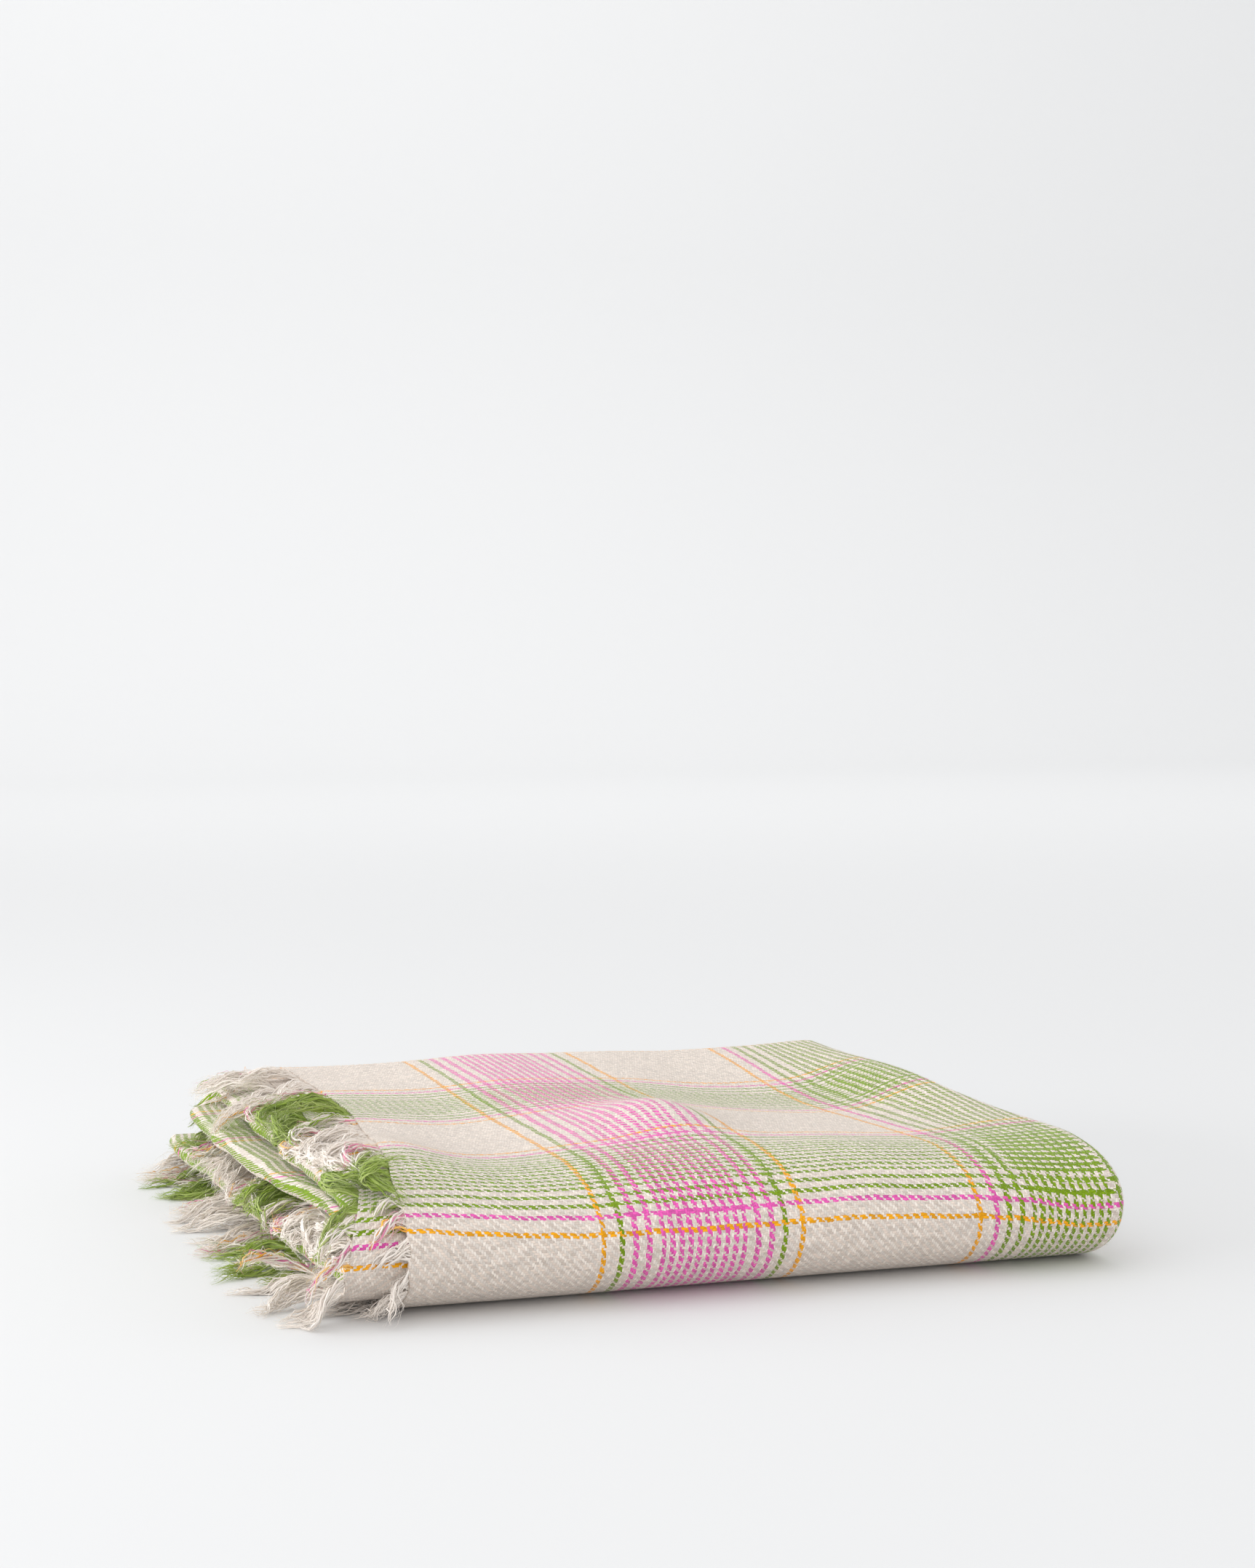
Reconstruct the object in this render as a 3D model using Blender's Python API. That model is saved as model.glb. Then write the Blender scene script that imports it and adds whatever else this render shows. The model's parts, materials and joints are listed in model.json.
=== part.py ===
"""Folded throw blanket: a fringed woollen throw, folded crosswise into quarters and then
letter-folded lengthwise in thirds. It is modelled as the panels that the folds make of the
cloth, the rounded turns of cloth between them, and the rows of fringe at its woven ends.

The pack lies flat, with its longest side along X, the front fold at -Y, the fringe at -X and
the crosswise folds at +X. Each panel is four plies thick, counted inward from its outer face:
an outer ply, an inner ply, and two more that are joined by a ridge at the fringe end.
Opening the throw swings the top and middle panels up and over the front fold's axis.
"""
import math

import bmesh
import bpy

# Driving dimensions, in metres.
CLOTH_LENGTH = 1.70  # woven length, between the two fringed ends
CLOTH_WIDTH = 1.35  # woven width, selvedge to selvedge
PLY_PITCH = 0.006  # height that one lofty ply takes up in the pile
PLY_GAP = 0.0004  # clearance between neighbouring plies
SEAM_GAP = 0.0003  # clearance between pieces that meet at a fold line
TOP_THIRD_EXTRA = 0.017  # the top panel is folded this much wider than a third
TUCK_CLEARANCE = 0.004  # the tucked edge stops this far behind the front fold's axis
INNER_EDGE_STAGGER = 0.019  # the inner ply's woven end stands out past the outer one's
RIDGE_REACH = 0.026  # and so does the ridge that joins the two innermost plies
OUTER_FRINGE_REACH = 0.045
INNER_FRINGE_REACH = 0.036
HEADER_WIDTH = 0.005  # strip of yarn ends that the tassels grow from
TASSEL_PITCH = 0.016
TASSEL_WIDTH = 0.011
TASSEL_TIP_WIDTH = 0.004
TASSEL_THICKNESS = 0.0036
TASSEL_TIP_THICKNESS = 0.0016
TOP_INNER_DROOP = 0.010  # how far the top panel's inner tassels flop down at their tips
TOP_OUTER_DROOP = 0.003  # its outer tassels lie on the inner ply's end and droop less
FOLD_STEPS = 10  # facets in a half turn of the panel folds
HAIRPIN_STEPS = 6  # facets in a half turn of the crosswise folds

# What follows from them.
QUARTERS = 4
PANELS = 3
PLY = PLY_PITCH - PLY_GAP
GROUP = QUARTERS * PLY_PITCH - PLY_GAP
HEIGHT = PANELS * QUARTERS * PLY_PITCH - PLY_GAP
FRONT_RADIUS = HEIGHT / 2
BACK_RADIUS = GROUP + PLY_GAP / 2
HAIRPIN_RADIUS = GROUP / 2
TIGHT_RADIUS = PLY + PLY_GAP / 2  # of the inner hairpin and of the ridge


def quarter_turn(radius):
    """Cloth in a quarter turn of a ply whose outer face has that radius."""
    return math.pi / 2 * (radius - PLY / 2)


TOP_THIRD = CLOTH_WIDTH / PANELS + TOP_THIRD_EXTRA
TOP_RUN = TOP_THIRD - quarter_turn(FRONT_RADIUS) - quarter_turn(BACK_RADIUS)
MIDDLE_RUN = TOP_RUN - TUCK_CLEARANCE
MIDDLE_THIRD = MIDDLE_RUN + quarter_turn(BACK_RADIUS)
BOTTOM_THIRD = CLOTH_WIDTH - TOP_THIRD - MIDDLE_THIRD
BOTTOM_RUN = BOTTOM_THIRD - quarter_turn(FRONT_RADIUS)
CROSSWISE_TURNS = 2 * quarter_turn(HAIRPIN_RADIUS) + 4 * quarter_turn(TIGHT_RADIUS)
EXTRA_RUNS = INNER_EDGE_STAGGER + 2 * (RIDGE_REACH - TIGHT_RADIUS)
QUARTER_RUN = (CLOTH_LENGTH - CROSSWISE_TURNS - EXTRA_RUNS) / QUARTERS

FRINGE_SPAN = max(OUTER_FRINGE_REACH, INNER_EDGE_STAGGER + INNER_FRINGE_REACH)
TOTAL_X = FRINGE_SPAN + QUARTER_RUN + HAIRPIN_RADIUS
TOTAL_Y = FRONT_RADIUS + max(BOTTOM_RUN, TOP_RUN + BACK_RADIUS)
LEFT_X = FRINGE_SPAN - TOTAL_X / 2
HAIRPIN_X = LEFT_X + QUARTER_RUN
RIDGE_X = LEFT_X - RIDGE_REACH + TIGHT_RADIUS
FRONT_Y = FRONT_RADIUS - TOTAL_Y / 2
BACK_Y = FRONT_Y + TOP_RUN
HINGE = (0.0, FRONT_Y, FRONT_RADIUS)


# Where each panel's points lie: u runs from 0 to 1 along the panel, w inward from its face.
def bottom_place(u, w):
    return FRONT_Y + SEAM_GAP + u * (BOTTOM_RUN - SEAM_GAP), w


def top_place(u, w):
    return FRONT_Y + SEAM_GAP + u * (TOP_RUN - 2 * SEAM_GAP), HEIGHT - w


def middle_place(u, w):
    return BACK_Y - SEAM_GAP - u * (MIDDLE_RUN - SEAM_GAP), GROUP + PLY_GAP + w


def front_fold_place(u, w):
    angle = math.pi * (u - 0.5)
    radius = FRONT_RADIUS - w
    return FRONT_Y - radius * math.cos(angle), FRONT_RADIUS + radius * math.sin(angle)


def back_fold_place(u, w):
    angle = math.pi * (0.5 - u)
    radius = BACK_RADIUS - w
    return BACK_Y + radius * math.cos(angle), HEIGHT - BACK_RADIUS + radius * math.sin(angle)


# Each panel's name, the place of its points, its facets, and if it swings.
PANEL_LIST = (
    ("bottom", bottom_place, 1, False),
    ("front_fold", front_fold_place, FOLD_STEPS, False),
    ("top", top_place, 1, True),
    ("back_fold", back_fold_place, FOLD_STEPS, True),
    ("middle", middle_place, 1, True),
)
DROOPS = {"top_outer_fringe": TOP_OUTER_DROOP, "top_inner_fringe": TOP_INNER_DROOP}


# A ply seen along its panel is a ladder of rungs, each from its outer to its inner face.
def flat_rung(x, w_outer, w_inner):
    return (x, w_outer), (x, w_inner)


def turn_rungs(x, outer_radius, w_centre, side):
    """A half turn about (x, w_centre) that bulges to side * X, from its low w to its high w."""
    rungs = []
    for step in range(HAIRPIN_STEPS + 1):
        angle = math.pi * (step / HAIRPIN_STEPS - 0.5)
        outer, inner = (
            (x + side * radius * math.cos(angle), w_centre + radius * math.sin(angle))
            for radius in (outer_radius, outer_radius - PLY)
        )
        rungs.append((outer, inner))
    return rungs


def outer_ply_rungs():
    """The outer ply and the wide hairpin that wraps the panel's whole group of plies."""
    turn = turn_rungs(HAIRPIN_X, HAIRPIN_RADIUS, GROUP / 2, 1)
    return [flat_rung(LEFT_X, 0.0, PLY)] + turn


def inner_ply_rungs():
    """The second ply, whose woven end stands out further, and the tight hairpin."""
    turn = turn_rungs(HAIRPIN_X, TIGHT_RADIUS, GROUP / 2, 1)
    return [flat_rung(LEFT_X - INNER_EDGE_STAGGER, PLY_PITCH, PLY_PITCH + PLY)] + turn


def ridge_ply_rungs():
    """The third and fourth plies, joined by the ridge at the fringe end."""
    x_end = HAIRPIN_X - SEAM_GAP
    third, fourth = 2 * PLY_PITCH, 3 * PLY_PITCH
    turn = turn_rungs(RIDGE_X, TIGHT_RADIUS, fourth - PLY_GAP / 2, -1)
    return [flat_rung(x_end, third, third + PLY)] + turn + [flat_rung(x_end, fourth + PLY, fourth)]


def sweep(rungs, place, steps):
    """The closed solid that a ladder of rungs leaves as it runs along a panel."""
    points = []
    for step in range(steps + 1):
        for rung in rungs:
            points += [(x, *place(step / steps, w)) for x, w in rung]
    count = len(rungs)

    def index(step, rung, face):
        return 2 * (step * count + rung) + face

    faces = []
    for step in range(steps):
        for face in (0, 1):
            faces += [
                (index(step, i, face), index(step, i + 1, face),
                 index(step + 1, i + 1, face), index(step + 1, i, face))
                for i in range(count - 1)
            ]
        faces += [
            (index(step, i, 0), index(step, i, 1), index(step + 1, i, 1), index(step + 1, i, 0))
            for i in (0, count - 1)
        ]
    for step in (0, steps):
        faces += [
            (index(step, i, 0), index(step, i + 1, 0), index(step, i + 1, 1), index(step, i, 1))
            for i in range(count - 1)
        ]
    return points, faces


def run_length(place, w):
    """Length of a panel at depth w."""
    samples = [place(step / FOLD_STEPS, w) for step in range(FOLD_STEPS + 1)]
    return sum(math.dist(a, b) for a, b in zip(samples, samples[1:]))


def comb(x_edge, reach, w_middle, droop, place):
    """One row of fringe: a header strip with tapered tassels, as one closed solid."""
    length = run_length(place, w_middle)
    tassels = max(1, round(length / TASSEL_PITCH))
    pitch = 1 / tassels
    half_base = min(TASSEL_WIDTH / length, 0.8 * pitch) / 2
    half_tip = half_base * TASSEL_TIP_WIDTH / TASSEL_WIDTH
    centres = [(i + 0.5) * pitch for i in range(tassels)]
    stops = [0.0]
    for centre in centres:
        stops += [centre - half_base, centre + half_base]
    stops.append(1.0)

    points = []

    def rung(x, u, w, thickness):
        """Adds a point on each face and gives their two indices."""
        for side in (-0.5, 0.5):
            points.append((x, *place(u, w + side * thickness)))
        return len(points) - 2, len(points) - 1

    inside = [rung(x_edge - SEAM_GAP, u, w_middle, TASSEL_THICKNESS) for u in stops]
    outside = [rung(x_edge - HEADER_WIDTH, u, w_middle, TASSEL_THICKNESS) for u in stops]
    faces = []
    for i in range(len(stops) - 1):
        faces += [(inside[i][f], inside[i + 1][f], outside[i + 1][f], outside[i][f]) for f in (0, 1)]
        faces.append((*inside[i], inside[i + 1][1], inside[i + 1][0]))
        if i % 2 == 0:
            faces.append((*outside[i], outside[i + 1][1], outside[i + 1][0]))
    for i in (0, -1):
        faces.append((*inside[i], outside[i][1], outside[i][0]))
    for number, centre in enumerate(centres):
        base = outside[2 * number + 1], outside[2 * number + 2]
        tip = [
            rung(x_edge - reach, centre + side * half_tip, w_middle + droop, TASSEL_TIP_THICKNESS)
            for side in (-1, 1)
        ]
        faces += [(base[0][f], base[1][f], tip[1][f], tip[0][f]) for f in (0, 1)]
        faces += [(*base[k], tip[k][1], tip[k][0]) for k in (0, 1)]
        faces.append((*tip[0], tip[1][1], tip[1][0]))
    return points, faces


def make_material(name, colour):
    material = bpy.data.materials.new(name)
    material.use_nodes = True
    shader = material.node_tree.nodes["Principled BSDF"]
    shader.inputs["Base Color"].default_value = (*colour, 1.0)
    shader.inputs["Roughness"].default_value = 0.9
    shader.inputs["Metallic"].default_value = 0.0
    return material


def make_object(name, solid, colour, hinge):
    """One closed solid. A swinging piece hangs from the hinge empty, on the fold's axis."""
    points, faces = solid
    origin = hinge.location if hinge else (0.0, 0.0, 0.0)
    bm = bmesh.new()
    verts = [bm.verts.new([p - o for p, o in zip(point, origin)]) for point in points]
    for face in faces:
        bm.faces.new([verts[i] for i in face])
    bmesh.ops.recalc_face_normals(bm, faces=bm.faces)
    mesh = bpy.data.meshes.new(name)
    bm.to_mesh(mesh)
    bm.free()
    mesh.shade_smooth()
    mesh.set_sharp_from_angle(angle=math.radians(40))
    mesh.materials.append(make_material(name, colour))
    obj = bpy.data.objects.new(name, mesh)
    bpy.context.collection.objects.link(obj)
    obj.parent = hinge


BEIGE = (0.58, 0.52, 0.44)
GREEN_CHECK = (0.42, 0.47, 0.22)
PINK_CHECK = (0.60, 0.38, 0.44)
FRINGE_CREAM = (0.68, 0.61, 0.53)
FRINGE_GREEN = (0.30, 0.42, 0.10)

PLY_KINDS = (
    ("outer_ply", outer_ply_rungs, BEIGE),
    ("inner_ply", inner_ply_rungs, PINK_CHECK),
    ("ridge_ply", ridge_ply_rungs, GREEN_CHECK),
)
FRINGE_KINDS = (
    ("outer_fringe", LEFT_X, OUTER_FRINGE_REACH, PLY / 2, FRINGE_CREAM),
    ("inner_fringe", LEFT_X - INNER_EDGE_STAGGER, INNER_FRINGE_REACH, PLY_PITCH + PLY / 2,
     FRINGE_GREEN),
)


def make_throw():
    for obj in list(bpy.data.objects):
        bpy.data.objects.remove(obj, do_unlink=True)
    hinge = bpy.data.objects.new("front_fold_axis", None)
    bpy.context.collection.objects.link(hinge)
    hinge.location = HINGE
    for panel, place, steps, swings in PANEL_LIST:
        parent = hinge if swings else None
        for kind, rungs, colour in PLY_KINDS:
            make_object(f"{panel}_{kind}", sweep(rungs(), place, steps), colour, parent)
        for kind, x_edge, reach, w_middle, colour in FRINGE_KINDS:
            name = f"{panel}_{kind}"
            row = comb(x_edge, reach, w_middle, DROOPS.get(name, 0.0), place)
            make_object(name, row, colour, parent)


make_throw()
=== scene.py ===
"""Looks of the folded throw blanket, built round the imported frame.

The throw is one woven sheet: s runs along its length from one fringed end to the other, and t
across its width between the selvedges. Every piece of cloth here is part of that sheet, laid
along the folds. Its UV map holds (s, t) in metres, and one weave shader reads it, so the check
runs on round every fold. The fringe is grown from the same warp yarns at the two woven ends.
"""
import json
import math

import bpy
import numpy as np
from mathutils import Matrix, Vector


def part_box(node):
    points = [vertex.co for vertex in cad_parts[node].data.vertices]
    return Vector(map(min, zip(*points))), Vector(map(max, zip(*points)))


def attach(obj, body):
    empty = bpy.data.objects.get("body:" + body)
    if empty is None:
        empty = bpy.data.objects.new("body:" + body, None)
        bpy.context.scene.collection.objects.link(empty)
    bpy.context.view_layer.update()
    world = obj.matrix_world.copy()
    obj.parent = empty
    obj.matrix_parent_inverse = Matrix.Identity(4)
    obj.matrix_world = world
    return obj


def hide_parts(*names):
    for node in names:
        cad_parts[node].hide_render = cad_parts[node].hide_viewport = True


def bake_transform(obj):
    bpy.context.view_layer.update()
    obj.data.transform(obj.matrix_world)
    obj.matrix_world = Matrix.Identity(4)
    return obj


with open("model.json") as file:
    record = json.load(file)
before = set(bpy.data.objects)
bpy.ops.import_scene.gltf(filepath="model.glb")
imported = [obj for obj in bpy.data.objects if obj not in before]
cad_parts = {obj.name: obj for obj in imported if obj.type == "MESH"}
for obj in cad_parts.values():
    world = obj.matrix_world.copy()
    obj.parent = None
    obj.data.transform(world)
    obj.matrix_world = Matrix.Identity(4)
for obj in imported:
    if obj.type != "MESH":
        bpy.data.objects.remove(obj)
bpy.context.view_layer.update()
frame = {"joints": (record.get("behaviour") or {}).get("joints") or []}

# ---------------------------------------------------------------- sizes read from the frame
LOWER, UPPER = "lower_panel", "upper_panels"
HINGE_Y, HINGE_Z = frame["joints"][0]["pos_m"][1:]
TOP_LOW, TOP_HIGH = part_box("top_outer_ply")
HEIGHT = TOP_HIGH.z
LEFT_X = TOP_LOW.x  # the outer ply's woven end
BACK_Y = TOP_HIGH.y  # axis of the back fold
BOTTOM_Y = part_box("bottom_outer_ply")[1].y  # the bottom panel's free selvedge
TUCKED_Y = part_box("middle_outer_ply")[0].y  # the middle panel's tucked selvedge
PLY = HEIGHT / 12
HAIRPIN_R = 1.5 * PLY  # mid-cloth radius of the wide crosswise fold
TIGHT_R = 0.5 * PLY  # and of the ridge and the inner crosswise fold
HAIRPIN_X = TOP_HIGH.x - HAIRPIN_R - PLY / 2
RIDGE_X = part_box("top_ridge_ply")[0].x + PLY
FRONT_R = HEIGHT / 2
BACK_R = 4 * PLY

# The cloth itself.
CLOTH_LENGTH = 1.70
YARN = 0.00125  # spacing of warp and weft yarns
HALF_THICKNESS = 0.0016
S_HAIRPIN = HAIRPIN_X - LEFT_X
S_FOURTH = S_HAIRPIN + math.pi * HAIRPIN_R
S_RIDGE = S_FOURTH + HAIRPIN_X - RIDGE_X
S_THIRD = S_RIDGE + math.pi * TIGHT_R
S_TIGHT = S_THIRD + HAIRPIN_X - RIDGE_X
S_SECOND = S_TIGHT + math.pi * TIGHT_R
S_CUTS = ((S_HAIRPIN + S_FOURTH) / 2, (S_RIDGE + S_THIRD) / 2, (S_TIGHT + S_SECOND) / 2)


# ---------------------------------------------------------------- small helpers
def wave(x, y, seed, length):
    """Gentle repeatable unevenness between about -1 and 1, with that wavelength."""
    rng = np.random.default_rng(seed)
    total = 0.0
    for _ in range(4):
        angle, phase, stretch = rng.uniform(0, math.tau), rng.uniform(0, math.tau), rng.uniform(0.6, 1.6)
        along = (x * math.cos(angle) + y * math.sin(angle)) / (length * stretch)
        total = total + np.sin(math.tau * along + phase)
    return total / 2.5


def ramp(x, low, high):
    """0 below low, 1 above high, and smooth between."""
    t = np.clip((x - low) / (high - low), 0, 1)
    return t * t * (3 - 2 * t)


def spaced(start, end, step):
    return np.linspace(start, end, max(1, round(abs(end - start) / step)) + 1)


# ---------------------------------------------------------------- how the sheet is folded
def crosswise(s, off):
    """Place (x, w) of the sheet at s, moved by off out of its face: w runs inward through the
    panel's four plies, which lie in the order first, fourth quarter, third, second."""
    if s <= S_HAIRPIN:
        return LEFT_X + s, 0.5 * PLY - off
    if s <= S_FOURTH:
        a = (s - S_HAIRPIN) / HAIRPIN_R
        r = HAIRPIN_R + off
        return HAIRPIN_X + r * math.sin(a), 2 * PLY - r * math.cos(a)
    if s <= S_RIDGE:
        return HAIRPIN_X - (s - S_FOURTH), 3.5 * PLY + off
    if s <= S_THIRD:
        a = (s - S_RIDGE) / TIGHT_R
        r = TIGHT_R + off
        return RIDGE_X - r * math.sin(a), 3 * PLY + r * math.cos(a)
    if s <= S_TIGHT:
        return RIDGE_X + (s - S_THIRD), 2.5 * PLY - off
    if s <= S_SECOND:
        a = (s - S_TIGHT) / TIGHT_R
        r = TIGHT_R - off
        return HAIRPIN_X + r * math.sin(a), 2 * PLY + r * math.cos(a)
    return HAIRPIN_X - (s - S_SECOND), 1.5 * PLY + off


PANELS = ("bottom", "front", "top", "back", "middle")
ENDS = {  # from and to: y on a flat panel, the angle above the horizontal in a turn
    "bottom": (BOTTOM_Y, HINGE_Y),
    "front": (-math.pi / 2, math.pi / 2),
    "top": (HINGE_Y, BACK_Y),
    "back": (math.pi / 2, -math.pi / 2),
    "middle": (BACK_Y, TUCKED_Y),
}
STEPS = {"bottom": 0.008, "front": 0.004, "top": 0.0055, "back": 0.0055, "middle": 0.009}
TURN_RADIUS = {"front": FRONT_R, "back": BACK_R}
T_FRONT = BOTTOM_Y - HINGE_Y + math.pi / 2 * (FRONT_R - PLY / 2)  # t at the front fold's apex
T_LINE = T_FRONT + 0.0052  # t of the orange warp line that runs along the front face


def panel_length(panel):
    low, high = ENDS[panel]
    return abs(high - low) * TURN_RADIUS.get(panel, 1.0)


def make_stations():
    """The places along the folded width, and the first and last index of each panel."""
    places, span = [], {}
    for panel in PANELS:
        half_steps = max(1, round(panel_length(panel) / STEPS[panel] / 2))
        found = [(panel, place) for place in np.linspace(*ENDS[panel], 2 * half_steps + 1)]
        start = max(len(places) - 1, 0)
        places += found if not places else found[1:]
        span[panel] = (start, len(places) - 1)
    return places, span


STATIONS, SPAN = make_stations()
APEX = sum(SPAN["front"]) // 2  # the station at the front fold's apex


def lengthwise(panel, place, w):
    """(y, z) at a place on a panel and at depth w."""
    if panel == "bottom":
        return place, w
    if panel == "front":
        return HINGE_Y - (FRONT_R - w) * math.cos(place), HINGE_Z + (FRONT_R - w) * math.sin(place)
    if panel == "top":
        return place, HEIGHT - w
    if panel == "back":
        return BACK_Y + (BACK_R - w) * math.cos(place), HEIGHT - BACK_R + (BACK_R - w) * math.sin(place)
    return place, HEIGHT - 2 * BACK_R + w


# ---------------------------------------------------------------- how the pack has settled
def slip(*marks):
    """How far an edge or fold has slipped along x, at every station. Each mark is a panel, the
    share of the way along it, and the slip there."""
    starts = np.cumsum([0.0] + [panel_length(panel) for panel in PANELS])
    start = dict(zip(PANELS, starts))
    places = [start[panel] + share * panel_length(panel) for panel, share, _ in marks]
    along = []
    for panel in PANELS:
        first, last = SPAN[panel]
        shares = np.linspace(0, 1, last - first + 1)
        found = start[panel] + shares * panel_length(panel)
        along += list(found if not along else found[1:])
    fine = np.linspace(0, starts[-1], 600)
    raw = np.interp(fine, places, [value for _, _, value in marks])
    kernel = np.hanning(33)
    smooth = np.convolve(np.pad(raw, 16, mode="edge"), kernel / kernel.sum(), mode="valid")
    return np.interp(along, fine, smooth)


OUTER_END = slip(
    ("bottom", 0.0, 0.0), ("bottom", 1.0, 0.009), ("front", 0.5, 0.0066), ("top", 0.0, 0.008),
    ("top", 0.16, 0.014), ("top", 0.4, 0.026), ("top", 0.55, 0.032), ("top", 1.0, 0.030),
    ("back", 1.0, 0.0), ("middle", 1.0, -0.004),
)
INNER_END = slip(
    ("bottom", 0.0, 0.004), ("bottom", 1.0, -0.003), ("front", 0.5, -0.005), ("top", 0.0, 0.010),
    ("top", 0.3, 0.026), ("top", 1.0, 0.036), ("back", 1.0, 0.020), ("middle", 1.0, 0.008),
)
RIDGE = slip(
    ("bottom", 0.1, -0.016), ("bottom", 0.3, -0.009), ("bottom", 0.6, -0.006), ("bottom", 0.8, -0.001),
    ("bottom", 1.0, 0.008), ("front", 0.5, 0.008), ("top", 0.0, 0.010), ("top", 1.0, 0.010),
    ("back", 0.5, 0.0), ("back", 1.0, -0.008), ("middle", 0.25, -0.0097), ("middle", 0.6, -0.0027),
    ("middle", 0.75, 0.010), ("middle", 1.0, 0.0108),
)
CROSSWISE_FOLD = slip(
    ("bottom", 1.0, 0.002), ("front", 0.5, 0.003), ("top", 0.16, 0.0035), ("top", 0.43, -0.0095),
    ("top", 0.75, -0.0095), ("top", 1.0, -0.005), ("back", 1.0, -0.004), ("middle", 1.0, 0.002),
)
END_REACH = 0.09  # how far into the cloth an end's slip is felt

# Hollows and swells of the top: height, centre (x, y), and reach along x and y.
REST_SINK = -0.0012
SWELLS = (
    (-0.0098, 0.159, 0.003, 0.089, 0.211),
    (-0.0055, 0.107, 0.039, 0.073, 0.089),
    (0.0108, 0.207, 0.032, 0.030, 0.117),
    (0.0117, 0.011, -0.078, 0.029, 0.049),
    (-0.0058, -0.093, -0.080, 0.048, 0.294),
    (0.0060, -0.155, -0.125, 0.025, 0.040),
)
SHOULDER_Y = HINGE_Y + 0.042  # where the top's fall towards the front begins
UNDERCUT = 0.010  # how far the pack's foot is drawn back under the front
FLOAT = 0.0011  # of the underside above the surface, before it settles


def settle(x, y, z):
    """The pack as it has settled: a soft front shoulder, and hollows and swells on the top that
    the plies below follow less and less."""
    front_y = HINGE_Y - FRONT_R
    fall = np.sqrt(np.clip(1 - ((SHOULDER_Y - y) / (SHOULDER_Y - front_y + 1e-4)) ** 2, 1e-6, 1))
    turn = np.sqrt(np.clip(1 - (np.minimum(y - HINGE_Y, 0) / (FRONT_R + 1e-4)) ** 2, 1e-6, 1))
    drop = np.where(y < SHOULDER_Y, np.clip(fall / turn, 0, 1), 1.0)
    z = np.where(z > HINGE_Z, HINGE_Z + (z - HINGE_Z) * drop, z)
    swell = REST_SINK + 0.0007 * wave(x, y, 31, 0.13)
    for height, at_x, at_y, reach_x, reach_y in SWELLS:
        swell = swell + height * np.exp(-((x - at_x) / reach_x) ** 2 - ((y - at_y) / reach_y) ** 2)
    share = np.clip(z / HEIGHT, 0, 1)
    low = np.clip(1 - z / HINGE_Z, 0, 1)
    y = y + UNDERCUT * low ** 2 * (1 - ramp(y, HINGE_Y - 0.01, HINGE_Y + 0.08))
    return x, y, z + swell * share - FLOAT * (1 - share)


def lay(s, off):
    """The sheet's points at s, at every station, moved by off out of its face."""
    x, w = crosswise(s, off)
    y, z = (np.array(column) for column in zip(*(lengthwise(*station, w) for station in STATIONS)))
    left = OUTER_END if s < S_HAIRPIN else INNER_END if s > S_SECOND else RIDGE
    x = x + left * (1 - ramp(x, LEFT_X, LEFT_X + END_REACH))
    x = x + CROSSWISE_FOLD * ramp(x, LEFT_X + END_REACH, HAIRPIN_X)
    x = x + 0.0013 * wave(y, z, 77, 0.024) * (1 - ramp(x, LEFT_X, LEFT_X + 0.04))
    return np.stack(settle(x, y, z), 1)


def line_drift(x):
    """How far the check stands above its place along the front, from the fringed end on."""
    marks = (
        (LEFT_X, 0.0075), (LEFT_X + 0.1, 0.0), (LEFT_X + 0.18, -0.0026), (LEFT_X + 0.25, -0.002),
        (LEFT_X + 0.32, -0.0048), (LEFT_X + 0.35, -0.0086), (LEFT_X + 0.38, -0.014), (HAIRPIN_X, -0.0155),
    )
    return np.interp(x, *zip(*marks))


EASED = 0.045  # how far the check stands back from its place beyond the wide fold
SKEWED = 0.018  # and how much lower it stands on the front at the inner woven end


def sheet_coords(s, points):
    """(s, t) of a row of mid-cloth points: t is the length along the row from the front fold."""
    steps = np.linalg.norm(np.diff(points[:, 1:], axis=0), axis=1)
    t = np.concatenate([[0.0], np.cumsum(steps)])
    t = t - t[APEX] + T_FRONT
    x = points[:, 0]
    t = t - line_drift(x) * (1 - ramp(t, T_LINE + 0.02, T_LINE + 0.11))
    along = np.full_like(t, s)
    if s <= S_HAIRPIN:
        along = x - LEFT_X
    elif s <= S_RIDGE:
        along = s + CROSSWISE_FOLD * ramp(x, LEFT_X + END_REACH, HAIRPIN_X)
    t = t + SKEWED * ramp(s, S_SECOND, CLOTH_LENGTH - 0.05)
    return np.stack([along - EASED * ramp(s, S_HAIRPIN, S_FOURTH + 0.25), t], 1)


def s_stops():
    """Places along s, close together at the folds and ends and on the ply that is seen."""
    fine, coarse, end_strip = 0.0055, 0.018, 0.05
    marks = [0.0, S_HAIRPIN, S_FOURTH, S_RIDGE, S_THIRD, S_TIGHT, S_SECOND, CLOTH_LENGTH]
    stops = set()
    for number, (low, high) in enumerate(zip(marks, marks[1:])):
        if number == 0:
            found = spaced(low, high, fine)
        elif number % 2:
            found = np.linspace(low, high, 13 if number == 1 else 9)
        else:
            ends = spaced(low, low + end_strip, fine), spaced(high - end_strip, high, fine)
            found = np.concatenate([ends[0], spaced(low + end_strip, high - end_strip, coarse), ends[1]])
        stops.update(round(float(x), 6) for x in found)
    stops.update(round(x, 6) for x in S_CUTS)
    return sorted(stops)


S_STOPS = s_stops()
FACES = [np.stack([lay(s, off) for s in S_STOPS]) for off in (HALF_THICKNESS, -HALF_THICKNESS)]
MIDDLE = (FACES[0] + FACES[1]) / 2
COORDS = np.stack([sheet_coords(s, row) for s, row in zip(S_STOPS, MIDDLE)])


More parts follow.
